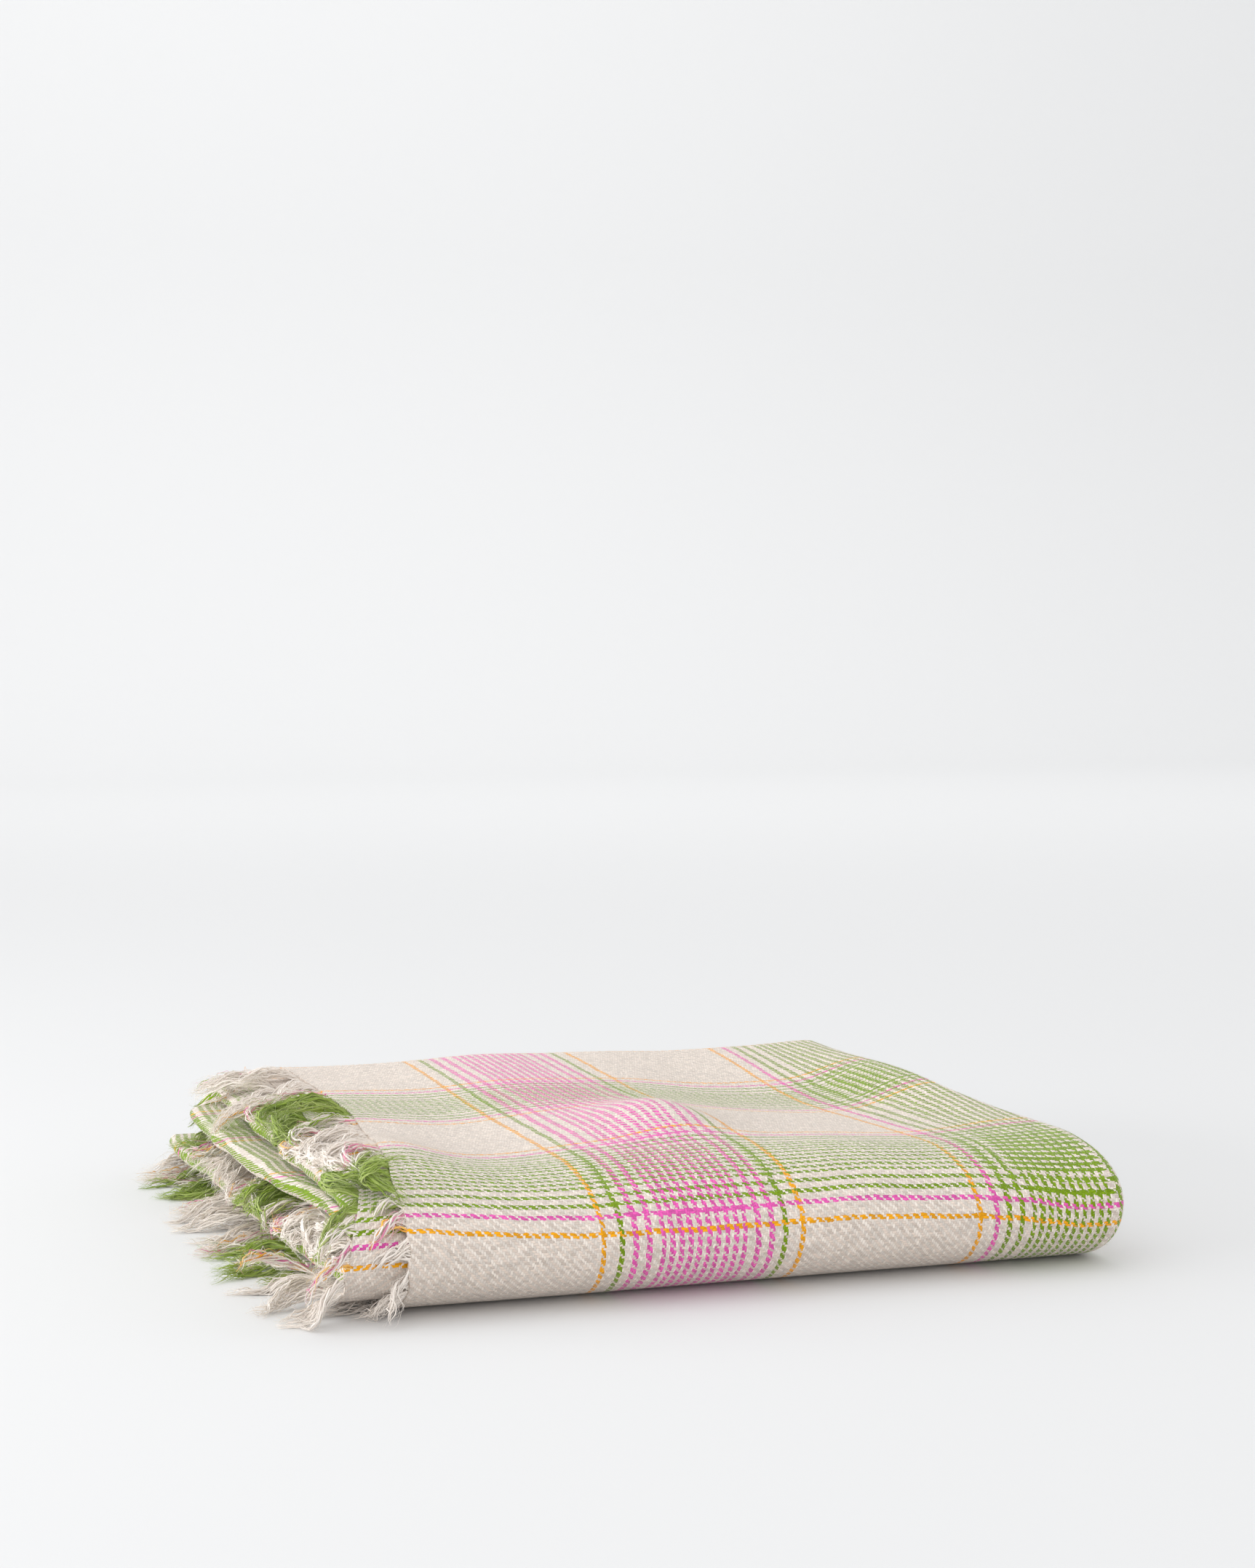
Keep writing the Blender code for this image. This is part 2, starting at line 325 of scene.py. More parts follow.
# ---------------------------------------------------------------- cloth as a mesh
def make_cloth(name, s_from, s_to, first_panel, last_panel):
    """A piece of the sheet with both its faces and its edges, and its (s, t) as UVs."""
    rows = slice(S_STOPS.index(round(s_from, 6)), S_STOPS.index(round(s_to, 6)) + 1)
    columns = slice(SPAN[first_panel][0], SPAN[last_panel][1] + 1)
    outer, inner = (face[rows, columns] for face in FACES)
    n, m = outer.shape[:2]
    places = np.concatenate([outer.reshape(-1, 3), inner.reshape(-1, 3)])
    coords = np.tile(COORDS[rows, columns].reshape(-1, 2), (2, 1))
    grid = np.arange(n * m).reshape(n, m)
    quads = np.stack([grid[:-1, :-1], grid[1:, :-1], grid[1:, 1:], grid[:-1, 1:]], -1).reshape(-1, 4)
    below = quads[:, ::-1] + n * m
    rims = []
    for line in (grid[0], grid[:, -1], grid[-1][::-1], grid[::-1, 0]):
        rims.append(np.stack([line[:-1], line[1:], line[1:] + n * m, line[:-1] + n * m], -1))
    faces = np.concatenate([quads, below, *rims])
    mesh = bpy.data.meshes.new(name)
    mesh.from_pydata(places.tolist(), [], faces.tolist())
    uv_map = mesh.uv_layers.new(name="sheet")
    corner = np.zeros(len(mesh.loops), np.int32)
    mesh.loops.foreach_get("vertex_index", corner)
    uv_map.data.foreach_set("uv", coords[corner].astype(np.float32).ravel())
    mesh.shade_smooth()
    mesh.set_sharp_from_angle(angle=math.radians(60))
    obj = bpy.data.objects.new(name, mesh)
    bpy.context.scene.collection.objects.link(obj)
    return obj


# ---------------------------------------------------------------- shader groups
class Graph:
    """Adds nodes to a tree and joins them up, so that a formula reads as one."""

    def __init__(self, tree):
        self.tree = tree

    def node(self, kind, **settings):
        made = self.tree.nodes.new(kind)
        for key, value in settings.items():
            setattr(made, key, value)
        return made

    def put(self, socket, value):
        if isinstance(value, bpy.types.NodeSocket):
            self.tree.links.new(value, socket)
        else:
            socket.default_value = value

    def math(self, operation, *values):
        made = self.node("ShaderNodeMath", operation=operation)
        for socket, value in zip(made.inputs, values):
            self.put(socket, value)
        return made.outputs[0]

    def near(self, value, centre, reach):
        """1 where value lies within reach of centre."""
        return self.math("LESS_THAN", self.math("ABSOLUTE", self.math("SUBTRACT", value, centre)), reach)

    def either(self, *values):
        total = values[0]
        for value in values[1:]:
            total = self.math("MAXIMUM", total, value)
        return total

    def mix(self, factor, a, b, blend="MIX"):
        made = self.node("ShaderNodeMix", data_type="RGBA", blend_type=blend)
        self.put(made.inputs["Factor"], factor)
        self.put(made.inputs[6], a)
        self.put(made.inputs[7], b)
        return made.outputs[2]

    def blend(self, factor, a, b):
        made = self.node("ShaderNodeMix", data_type="FLOAT")
        self.put(made.inputs["Factor"], factor)
        self.put(made.inputs[2], a)
        self.put(made.inputs[3], b)
        return made.outputs[0]

    def noise(self, vector, scale, detail=2.0, rough=0.5):
        made = self.node("ShaderNodeTexNoise")
        self.put(made.inputs["Vector"], vector)
        made.inputs["Scale"].default_value = scale
        made.inputs["Detail"].default_value = detail
        made.inputs["Roughness"].default_value = rough
        return made.outputs["Fac"]

    def vector(self, x, y, z=0.0):
        made = self.node("ShaderNodeCombineXYZ")
        for socket, value in zip(made.inputs, (x, y, z)):
            self.put(socket, value)
        return made.outputs[0]

    def use(self, group, **values):
        made = self.node("ShaderNodeGroup", node_tree=group)
        for key, value in values.items():
            self.put(made.inputs[key.replace("_", " ")], value)
        return made.outputs


def new_group(name, inputs, outputs):
    """A shader node group with named sockets, and its graph, inputs and output node."""
    tree = bpy.data.node_groups.new(name, "ShaderNodeTree")
    for label, kind, value in inputs:
        socket = tree.interface.new_socket(label, in_out="INPUT", socket_type=kind)
        if value is not None:
            socket.default_value = value
    for label, kind in outputs:
        tree.interface.new_socket(label, in_out="OUTPUT", socket_type=kind)
    graph = Graph(tree)
    source = graph.node("NodeGroupInput").outputs
    return tree, graph, source, graph.node("NodeGroupOutput").inputs


FLOAT, COLOUR = "NodeSocketFloat", "NodeSocketColor"
GREEN = (0.215, 0.36, 0.0, 1.0)
PINK = (0.90, 0.115, 0.50, 1.0)
ORANGE = (1.0, 0.43, 0.002, 1.0)
OFF_WHITE = (0.91, 0.825, 0.745, 1.0)
TAN = (0.81, 0.69, 0.60, 1.0)
REPEAT = 170  # yarns from one stripe group to the next
GROUP_MIDDLE = 45  # of a group's 90 yarns
WEFT_START = 86  # yarns from the woven end to the first group across the sheet
MIDDLE_GROUP = 50  # the group that "Groups" counts out from on both sides
FIRST_WEFT_GROUP = 47  # the group that the first yarns across the sheet belong to


def stripes_group():
    """The colour of one yarn from its number: a group has an orange line, an accent line, two
    wide-set band lines and then close ones, and is symmetric. Band lines are green, or pink in
    every other group across the sheet, and the accent line has the other of the two."""
    tree, g, given, result = new_group(
        "yarn_stripes",
        [
            ("Yarn", FLOAT, 0.0), ("Groups", FLOAT, 99.0),
            ("Kinds", FLOAT, 1.0), ("Base", COLOUR, OFF_WHITE),
        ],
        [("Color", COLOUR), ("Dyed", FLOAT)],
    )
    number = given["Yarn"]
    within = g.math("FLOORED_MODULO", number, float(REPEAT))
    d = g.math("ABSOLUTE", g.math("SUBTRACT", within, float(GROUP_MIDDLE)))
    group = g.math("FLOOR", g.math("DIVIDE", number, float(REPEAT)))
    far = g.math("ABSOLUTE", g.math("SUBTRACT", group, float(MIDDLE_GROUP)))
    present = g.math("LESS_THAN", far, given["Groups"])
    orange = g.math("MULTIPLY", present, g.near(d, 44.0, 1.15))
    accent = g.math("MULTIPLY", present, g.near(d, 36.0, 1.15))
    fourth = g.math("FLOORED_MODULO", g.math("SUBTRACT", d, 1.0), 4.0)
    close = g.math("MULTIPLY", g.near(fourth, 1.0, 1.3), g.math("LESS_THAN", d, 19.0))
    band = g.math("MULTIPLY", present, g.either(g.near(d, 30.0, 1.3), g.near(d, 24.0, 1.3), close))
    kind = g.math("FLOORED_MODULO", group, given["Kinds"])
    colour = g.mix(band, given["Base"], g.mix(kind, GREEN, PINK))
    colour = g.mix(accent, colour, g.mix(kind, PINK, GREEN))
    colour = g.mix(orange, colour, ORANGE)
    g.put(result["Color"], colour)
    g.put(result["Dyed"], g.either(orange, accent, band))
    return tree


def weave_group(stripes):
    """Two-over-two twill from the sheet's (s, t): the colour of whichever yarn is on top, the
    height of its rounded float, and where that yarn is dyed."""
    tree, g, given, result = new_group(
        "twill_weave",
        [("S", FLOAT, 0.0), ("T", FLOAT, 0.0), ("Unevenness", FLOAT, 0.5)],
        [("Color", COLOUR), ("Height", FLOAT), ("Dyed", FLOAT)],
    )

    def yarns(value, start, seed):
        """Yarn numbers along one way, with the wobble and the odd thick place of spun wool."""
        spot = g.vector(given["S"], given["T"], seed)
        wobble = g.math("SUBTRACT", g.noise(spot, 260.0, 3.0, 0.6), 0.5)
        drift = g.math("SUBTRACT", g.noise(spot, 40.0, 1.0), 0.5)
        number = g.math("SUBTRACT", g.math("DIVIDE", value, YARN), start)
        uneven = g.math("ADD", g.math("MULTIPLY", wobble, 3.4), g.math("MULTIPLY", drift, 3.0))
        return g.math("ADD", number, g.math("MULTIPLY", uneven, given["Unevenness"]))

    u, v = yarns(given["S"], float(WEFT_START), 1.7), yarns(given["T"], T_LINE / YARN, 5.3)
    i, j = g.math("FLOOR", u), g.math("FLOOR", v)
    warp_step, weft_step = g.math("ADD", u, j), g.math("ADD", i, v)
    warp_phase = g.math("FLOORED_MODULO", warp_step, 4.0)
    weft_phase = g.math("FLOORED_MODULO", g.math("ADD", weft_step, 2.0), 4.0)
    warp_yarn = g.math("ADD", v, float(MIDDLE_GROUP * REPEAT))
    weft_yarn = g.math("ADD", u, float(FIRST_WEFT_GROUP * REPEAT))
    warp = g.use(stripes, Yarn=warp_yarn, Groups=99.0, Kinds=1.0, Base=TAN)
    weft = g.use(stripes, Yarn=weft_yarn, Groups=3.5, Kinds=2.0, Base=OFF_WHITE)
    fuller = g.math("MULTIPLY", g.math("SUBTRACT", warp["Dyed"], weft["Dyed"]), 0.75)
    ragged = g.noise(g.vector(given["S"], given["T"], 8.1), 900.0, 2.0, 0.6)
    edge = g.math("ADD", g.math("ADD", fuller, 1.2), g.math("MULTIPLY", ragged, 1.6))
    warp_on_top = g.math("LESS_THAN", warp_phase, edge)

    def yarn_float(across, phase, number, step, seed):
        """Height of a float over the two yarns it crosses, and how light this one is."""
        off = g.math("MULTIPLY", g.math("SUBTRACT", g.math("FRACT", across), 0.5), 1.9)
        inside = g.math("SUBTRACT", 1.0, g.math("MULTIPLY", off, off))
        round_ = g.math("SQRT", g.math("MAXIMUM", inside, 0.02))
        arch = g.math("MAXIMUM", g.math("SINE", g.math("MULTIPLY", phase, math.pi / 2)), 0.0)
        chance = g.node("ShaderNodeTexWhiteNoise")
        which = g.math("FLOOR", g.math("DIVIDE", step, 4.0))
        g.put(chance.inputs["Vector"], g.vector(number, which, seed))
        height = g.math("MULTIPLY", round_, g.math("ADD", g.math("MULTIPLY", arch, 0.5), 0.5))
        return height, g.math("ADD", 0.80, g.math("MULTIPLY", chance.outputs["Value"], 0.36))

    weft_height, weft_tone = yarn_float(u, weft_phase, i, g.math("ADD", weft_step, 2.0), 3.0)
    warp_height, warp_tone = yarn_float(v, warp_phase, j, warp_step, 7.0)
    tone = g.blend(warp_on_top, weft_tone, warp_tone)
    colour = g.mix(warp_on_top, weft["Color"], warp["Color"])
    g.put(result["Color"], g.mix(1.0, colour, g.vector(tone, tone, tone), "MULTIPLY"))
    g.put(result["Height"], g.blend(warp_on_top, weft_height, warp_height))
    g.put(result["Dyed"], g.blend(warp_on_top, weft["Dyed"], warp["Dyed"]))
    return tree


def plain_material(name):
    material = bpy.data.materials.new(name)
    material.use_nodes = True
    graph = Graph(material.node_tree)
    return material, graph, material.node_tree.nodes["Principled BSDF"].inputs


def wool_finish(shader):
    """What is the same all over woollen yarn: matte, with the soft halo of a brushed nap."""
    shader["Roughness"].default_value = 0.92
    shader["Specular IOR Level"].default_value = 0.12
    shader["Sheen Weight"].default_value = 0.42
    shader["Sheen Roughness"].default_value = 0.35
    shader["Sheen Tint"].default_value = (1.0, 0.96, 0.91, 1.0)


def cloth_material(weave):
    material, g, shader = plain_material("brushed_check_cloth")
    sheet = g.node("ShaderNodeUVMap", uv_map="sheet").outputs[0]
    split = g.node("ShaderNodeSeparateXYZ")
    g.put(split.inputs[0], sheet)
    made = g.use(weave, S=split.outputs[0], T=split.outputs[1], Unevenness=0.54)
    strands = g.noise(sheet, 2600.0, 3.0, 0.65)
    fleece = g.noise(sheet, 420.0, 4.0, 0.6)
    # Painted shade: the colour is darkened between the floats and towards each float's ends, by the
    # float's height. The fine fibre noise then varies the tone at random.
    shade = g.math("ADD", 0.74, g.math("MULTIPLY", made["Height"], 0.30))
    shade = g.math("MULTIPLY", shade, g.math("ADD", 0.72, g.math("MULTIPLY", strands, 0.52)))
    colour = g.mix(1.0, made["Color"], g.vector(shade, shade, shade), "MULTIPLY")
    haze = g.math("MULTIPLY", g.math("POWER", fleece, 2.0), 0.40)
    haze = g.math("MULTIPLY", haze, g.math("SUBTRACT", 1.0, g.math("MULTIPLY", made["Dyed"], 0.85)))
    colour = g.mix(haze, colour, (0.88, 0.79, 0.71, 1.0))
    g.put(shader["Base Color"], colour)
    g.put(shader["Roughness"], g.math("ADD", 0.85, g.math("MULTIPLY", strands, 0.15)))
    bump = g.node("ShaderNodeBump")
    bump.inputs["Strength"].default_value = 0.55
    bump.inputs["Distance"].default_value = 0.0006
    g.put(bump.inputs["Height"], g.math("ADD", made["Height"], g.math("MULTIPLY", strands, 0.7)))
    g.put(shader["Normal"], bump.outputs[0])
    wool_finish(shader)
    return material


# ---------------------------------------------------------------- fringe
TASSEL_PITCH = 0.016
TASSEL_LENGTH = 0.054
SEGMENTS = 12  # of a tassel's guide line
STRANDS = 12  # of a tassel
FLOOR_REST = 0.0024  # height of a tassel's middle where it lies on the floor
ROOT_REACH = 0.004  # either side of a root, over which the edge's direction is taken


def row_at(s):
    """The sheet's row nearest to s."""
    return int(np.argmin(np.abs(np.array(S_STOPS) - s)))


def ledge(panel, top_s, overhang):
    """What a tassel lies on: the ridge below it, over whose end it hangs. Few reach out further
    than the overhang: the rest turn along the edge."""
    columns = slice(SPAN[panel][0], SPAN[panel][1] + 1)
    top = MIDDLE[row_at(top_s), columns]
    end = MIDDLE[row_at(S_CUTS[1]), columns]
    order = np.argsort(top[:, 1])

    def lowest(x, y):
        height = np.interp(y, top[order, 1], top[order, 2]) + HALF_THICKNESS + 0.0022
        past = np.interp(y, top[order, 1], end[order, 0]) + 0.003 - x
        beyond = past - np.interp(y, *zip(*overhang))
        return max(height - max(past, 0.0) ** 2 / 0.014, FLOOR_REST), beyond

    return lowest


def on_floor(x, y):
    return FLOOR_REST, -1.0


def hang(root, lean, lowest, length, rng):
    """A tassel's line from its root: it droops under its weight and lies on what is below it."""
    step = length * rng.uniform(0.86, 1.08) / SEGMENTS
    droop = rng.uniform(0.05, 0.15) * TASSEL_LENGTH / length
    bend = rng.normal(0.0, 0.055)
    way = np.array([-1.0, *lean])
    way = way / np.linalg.norm(way)
    points = [np.array(root)]
    for number in range(SEGMENTS):
        free = min(number / 4, 1.0)
        held_back = np.clip(lowest(*points[-1][:2])[1] / 0.006 + 1, 0, 1) * 0.6
        way = way + free * (np.array([held_back, bend, -droop]) + rng.normal(0.0, 0.07, 3))
        way = way / np.linalg.norm(way)
        place = points[-1] + way * step
        place[2] = max(place[2], lowest(place[0], place[1])[0])
        way = (place - points[-1]) / np.linalg.norm(place - points[-1])
        points.append(points[-1] + way * step)
    return points


def tassel_roots(row, panel):
    """Roots along one woven end of a panel, evenly spaced by t: place, along the edge, and t."""
    columns = slice(SPAN[panel][0], SPAN[panel][1] + 1)
    points, t = MIDDLE[row, columns], COORDS[row, columns, 1]
    if t[0] > t[-1]:
        points, t = points[::-1], t[::-1]
    first = math.ceil((t[0] - T_LINE) / TASSEL_PITCH - 0.5) + 0.5
    found = []
    for value in np.arange(first, (t[-1] - T_LINE) / TASSEL_PITCH, 1.0) * TASSEL_PITCH + T_LINE:
        beside = (value - ROOT_REACH, value, value + ROOT_REACH)
        places = [[np.interp(v, t, points[:, k]) for k in range(3)] for v in beside]
        edge = np.array(places[2]) - np.array(places[0])
        edge[0] = 0.0
        found.append((places[1], edge / np.linalg.norm(edge), value))
    return found


def yarns_of(t):
    """The first warp yarn of a tassel and the step to its next: within a band, where the maker
    drew the dyed ends together, every strand is one of the band's."""
    number = (t - T_LINE) / YARN
    within = abs(number % REPEAT - GROUP_MIDDLE)
    if within < 22:
        return GROUP_MIDDLE + 1.5, 0.0
    return number - STRANDS / 2, 1.0


def make_guides(name, rows, lean_y, lean_z, length, seed):
    """The lines of a row of tassels as bare edges, with what the strands need to know."""
    rng = np.random.default_rng(seed)
    points, edges, along, across, start, step, tassel = [], [], [], [], [], [], []
    for row, panel, lowest in rows:
        for root, edge, t in tassel_roots(row, panel):
            lift = 0.0
            if panel in ("top", "back"):
                lift = 0.34 * float(ramp(root[1], 0.10, 0.19) * ramp(root[2], HINGE_Z, HEIGHT))
            lean = (lean_y + rng.normal(0.0, 0.30), lean_z + lift + rng.normal(0.0, 0.16))
            line = hang(root, lean, lowest, length, rng)
            base = len(points)
            points += [tuple(place) for place in line]
            edges += [(base + k, base + k + 1) for k in range(SEGMENTS)]
            along += [k / SEGMENTS for k in range(SEGMENTS + 1)]
            first, gap = yarns_of(t)
            for values, value in ((across, edge), (start, first), (step, gap), (tassel, base)):
                values += [value] * (SEGMENTS + 1)
    mesh = bpy.data.meshes.new(name)
    mesh.from_pydata(points, edges, [])
    for label, kind, values in (
        ("along", "FLOAT", along), ("first_yarn", "FLOAT", start),
        ("yarn_step", "FLOAT", step), ("tassel", "INT", tassel),
    ):
        mesh.attributes.new(label, kind, "POINT").data.foreach_set("value", values)
    mesh.attributes.new("across", "FLOAT_VECTOR", "POINT").data.foreach_set("vector", np.ravel(across))
    obj = bpy.data.objects.new(name, mesh)
    bpy.context.scene.collection.objects.link(obj)
    return obj


class Growth(Graph):
    """A Graph for geometry nodes."""

    def named(self, label, kind="FLOAT"):
        made = self.node("GeometryNodeInputNamedAttribute", data_type=kind)
        made.inputs["Name"].default_value = label
        return made.outputs["Attribute"]

    def random(self, number, seed, low=0.0, high=1.0):
        made = self.node("FunctionNodeRandomValue")
        made.inputs[2].default_value = low
        made.inputs[3].default_value = high
        self.put(made.inputs["ID"], number)
        self.put(made.inputs["Seed"], seed)
        return made.outputs[1]

    def scaled(self, vector, factor):
        made = self.node("ShaderNodeVectorMath", operation="SCALE")
        self.put(made.inputs[0], vector)
        self.put(made.inputs["Scale"], factor)
        return made.outputs[0]

    def vectors(self, operation, a, b):
        made = self.node("ShaderNodeVectorMath", operation=operation)
        self.put(made.inputs[0], a)
        self.put(made.inputs[1], b)
        return made.outputs[0]

    def store(self, geometry, label, value):
        made = self.node("GeometryNodeStoreNamedAttribute")
        self.put(made.inputs["Geometry"], geometry)
        made.inputs["Name"].default_value = label
        self.put(made.inputs["Value"], value)
        return made.outputs[0]


def growth_tree(name, inputs):
    """A geometry node tree with a geometry in and out and named inputs."""
    tree = bpy.data.node_groups.new(name, "GeometryNodeTree")
    tree.interface.new_socket("Geometry", in_out="OUTPUT", socket_type="NodeSocketGeometry")
    tree.interface.new_socket("Geometry", in_out="INPUT", socket_type="NodeSocketGeometry")
    for label, kind in inputs:
        tree.interface.new_socket(label, in_out="INPUT", socket_type=kind)
    g = Growth(tree)
    return tree, g, g.node("NodeGroupInput").outputs, g.node("NodeGroupOutput").inputs


def tassel_tree():
    """Strands drawn along each guide: they leave the cloth side by side, gather into a loose
    twisted bundle, and thin out to a wispy tip, in a halo of finer fibres."""
    tree, g, given, result = growth_tree("tassels", [
        ("Strands", "NodeSocketInt"), ("Strand Radius", FLOAT), ("Bundle Radius", FLOAT),
        ("Crimp", FLOAT), ("Fibres", "NodeSocketInt"), ("Fibre Radius", FLOAT),
        ("Fibre Spread", FLOAT), ("Yarn Spacing", FLOAT), ("Floor", FLOAT), ("Ceiling", FLOAT),
        ("Seed", "NodeSocketInt"),
        ("Material", "NodeSocketMaterial"),
    ])
    lines = g.node("GeometryNodeMeshToCurve")
    g.put(lines.inputs["Mesh"], given["Geometry"])

    def strands(amount, radius, bundle, crimp, root_crimp, points, salt):
        copies = g.node("GeometryNodeDuplicateElements", domain="SPLINE")
        g.put(copies.inputs["Geometry"], lines.outputs[0])
        g.put(copies.inputs["Amount"], amount)
        place = copies.outputs["Duplicate Index"]
        number = g.math("ADD", g.math("MULTIPLY", g.named("tassel", "INT"), 64.0), place)
        seed = g.math("ADD", given["Seed"], salt)
        order = g.math("MULTIPLY", g.math("DIVIDE", place, amount), float(STRANDS))
        centred = g.math("SUBTRACT", order, (STRANDS - 1) / 2)
        along, across = g.named("along"), g.named("across", "FLOAT_VECTOR")
        upward = g.vectors("CROSS_PRODUCT", across, (-1.0, 0.0, 0.0))
        twist = g.math("MULTIPLY", along, 5.0)
        angle = g.math("ADD", g.random(number, seed, 0.0, math.tau), twist)
        swell = g.math("SUBTRACT", 1.15, g.math("MULTIPLY", along, 0.55))
        out = g.math("MULTIPLY", g.math("SQRT", g.random(number, g.math("ADD", seed, 1.0))), bundle)
        out = g.math("MULTIPLY", out, swell)
        sideways = g.scaled(across, g.math("MULTIPLY", out, g.math("COSINE", angle)))
        upwards = g.scaled(upward, g.math("MULTIPLY", out, g.math("SINE", angle)))
        bundled = g.vectors("ADD", sideways, upwards)
        flat = g.scaled(across, g.math("MULTIPLY", centred, given["Yarn Spacing"]))
        gather = g.math("SMOOTH_MIN", g.math("MULTIPLY", along, 3.6), 1.0, 0.4)
        loose = g.math("SUBTRACT", 1.0, gather)
        offset = g.vectors("ADD", g.scaled(bundled, gather), g.scaled(flat, loose))
        position = g.node("GeometryNodeInputPosition").outputs[0]
        shift = g.vector(*(g.random(number, g.math("ADD", seed, 2.0 + k), 0.0, 40.0) for k in range(3)))
        noise = g.node("ShaderNodeTexNoise")
        g.put(noise.inputs["Vector"], g.vectors("ADD", g.scaled(position, 105.0), shift))
        noise.inputs["Scale"].default_value = 1.0
        noise.inputs["Detail"].default_value = 1.5
        curl = g.vectors("SUBTRACT", noise.outputs["Color"], (0.5, 0.5, 0.5))
        reach = g.math("MULTIPLY", crimp, g.math("ADD", g.math("MULTIPLY", along, 1.1), root_crimp))
        offset = g.vectors("ADD", offset, g.scaled(curl, reach))
        fine = g.node("GeometryNodeResampleCurve", mode="COUNT")
        g.put(fine.inputs["Curve"], copies.outputs["Geometry"])
        fine.inputs["Count"].default_value = points
        moved = g.node("GeometryNodeSetPosition")
        g.put(moved.inputs["Geometry"], fine.outputs[0])
        g.put(moved.inputs["Offset"], offset)
        apart = g.node("ShaderNodeSeparateXYZ")
        g.put(apart.inputs[0], position)
        resting = g.math("MAXIMUM", apart.outputs[2], given["Floor"])
        resting = g.math("MINIMUM", resting, given["Ceiling"])
        laid = g.node("GeometryNodeSetPosition")
        g.put(laid.inputs["Geometry"], moved.outputs[0])
        g.put(laid.inputs["Position"], g.vector(apart.outputs[0], apart.outputs[1], resting))
        yarn = g.math("ADD", g.named("first_yarn"), g.math("MULTIPLY", order, g.named("yarn_step")))
        kept = g.store(laid.outputs[0], "yarn", yarn)
        kept = g.store(kept, "tone", g.random(number, g.math("ADD", seed, 6.0)))
        end = g.random(number, g.math("ADD", seed, 5.0), 0.72, 1.04)
        left = g.math("DIVIDE", g.math("SUBTRACT", end, along), 0.36)
        thin = g.math("POWER", g.math("MINIMUM", g.math("MAXIMUM", left, 0.02), 1.0), 0.7)
        profile = g.node("GeometryNodeCurvePrimitiveCircle", mode="RADIUS")
        profile.inputs["Resolution"].default_value = 3
        profile.inputs["Radius"].default_value = 1.0
        solid = g.node("GeometryNodeCurveToMesh")
        g.put(solid.inputs["Curve"], kept)
        g.put(solid.inputs["Profile Curve"], profile.outputs[0])
        g.put(solid.inputs["Scale"], g.math("MULTIPLY", thin, radius))
        solid.inputs["Fill Caps"].default_value = True
        return solid.outputs[0]

    yarns = strands(
        given["Strands"], given["Strand Radius"], given["Bundle Radius"],
        given["Crimp"], 0.12, 15, 0.0,
    )
    halo_crimp = g.math("MULTIPLY", given["Crimp"], 1.8)
    halo = strands(
        given["Fibres"], given["Fibre Radius"], given["Fibre Spread"],
        halo_crimp, 0.35, 12, 20.0,
    )
    joined = g.node("GeometryNodeJoinGeometry")
    g.put(joined.inputs[0], halo)
    g.put(joined.inputs[0], yarns)
    finish_tree(g, joined.outputs[0], given["Material"], result["Geometry"])
    return tree


def finish_tree(g, geometry, material, result):
    real = g.node("GeometryNodeRealizeInstances")
    g.put(real.inputs[0], geometry)
    painted = g.node("GeometryNodeSetMaterial")
    g.put(painted.inputs["Geometry"], real.outputs[0])
    g.put(painted.inputs["Material"], material)
    g.put(result, painted.outputs[0])


def grown(obj, tree, name, **values):
    """A plain mesh object of what a geometry node tree makes of obj."""
    modifier = obj.modifiers.new(tree.name, "NODES")
    modifier.node_group = tree
    items = [item for item in tree.interface.items_tree if item.in_out == "INPUT"]
    sockets = {item.name: item.identifier for item in items}
    for label, value in values.items():
        modifier[sockets[label.replace("_", " ")]] = value
    bpy.context.view_layer.update()
    depsgraph = bpy.context.evaluated_depsgraph_get()
    mesh = bpy.data.meshes.new_from_object(obj.evaluated_get(depsgraph), depsgraph=depsgraph)
    obj.modifiers.remove(modifier)
    mesh.name = name
    mesh.shade_smooth()
    made = bpy.data.objects.new(name, mesh)
    bpy.context.scene.collection.objects.link(made)
    return made


def fringe_material(stripes):
    """Loose yarn: each strand has the colour of its own warp yarn."""
    material, g, shader = plain_material("loose_fringe_yarn")
    yarn = g.node("ShaderNodeAttribute", attribute_name="yarn").outputs["Fac"]
    tone = g.node("ShaderNodeAttribute", attribute_name="tone").outputs["Fac"]
    place = g.node("ShaderNodeTexCoord").outputs["Object"]
    number = g.math("ADD", g.math("FLOOR", yarn), MIDDLE_GROUP * REPEAT + 0.5)
    made = g.use(stripes, Yarn=number, Groups=99.0, Kinds=1.0, Base=(1.0, 0.925, 0.85, 1.0))
    fleck = g.noise(place, 900.0, 3.0, 0.6)
    shade = g.math("ADD", 0.90, g.math("MULTIPLY", tone, 0.14))
    shade = g.math("MINIMUM", g.math("ADD", shade, g.math("MULTIPLY", fleck, 0.20)), 1.0)
    colour = g.mix(1.0, made["Color"], g.vector(shade, shade, shade), "MULTIPLY")
    faded = g.math("MULTIPLY", made["Dyed"], g.math("ADD", g.math("MULTIPLY", tone, 0.34), 0.10))
    g.put(shader["Base Color"], g.mix(faded, colour, (0.90, 0.90, 0.50, 1.0)))
    wool_finish(shader)
    return material


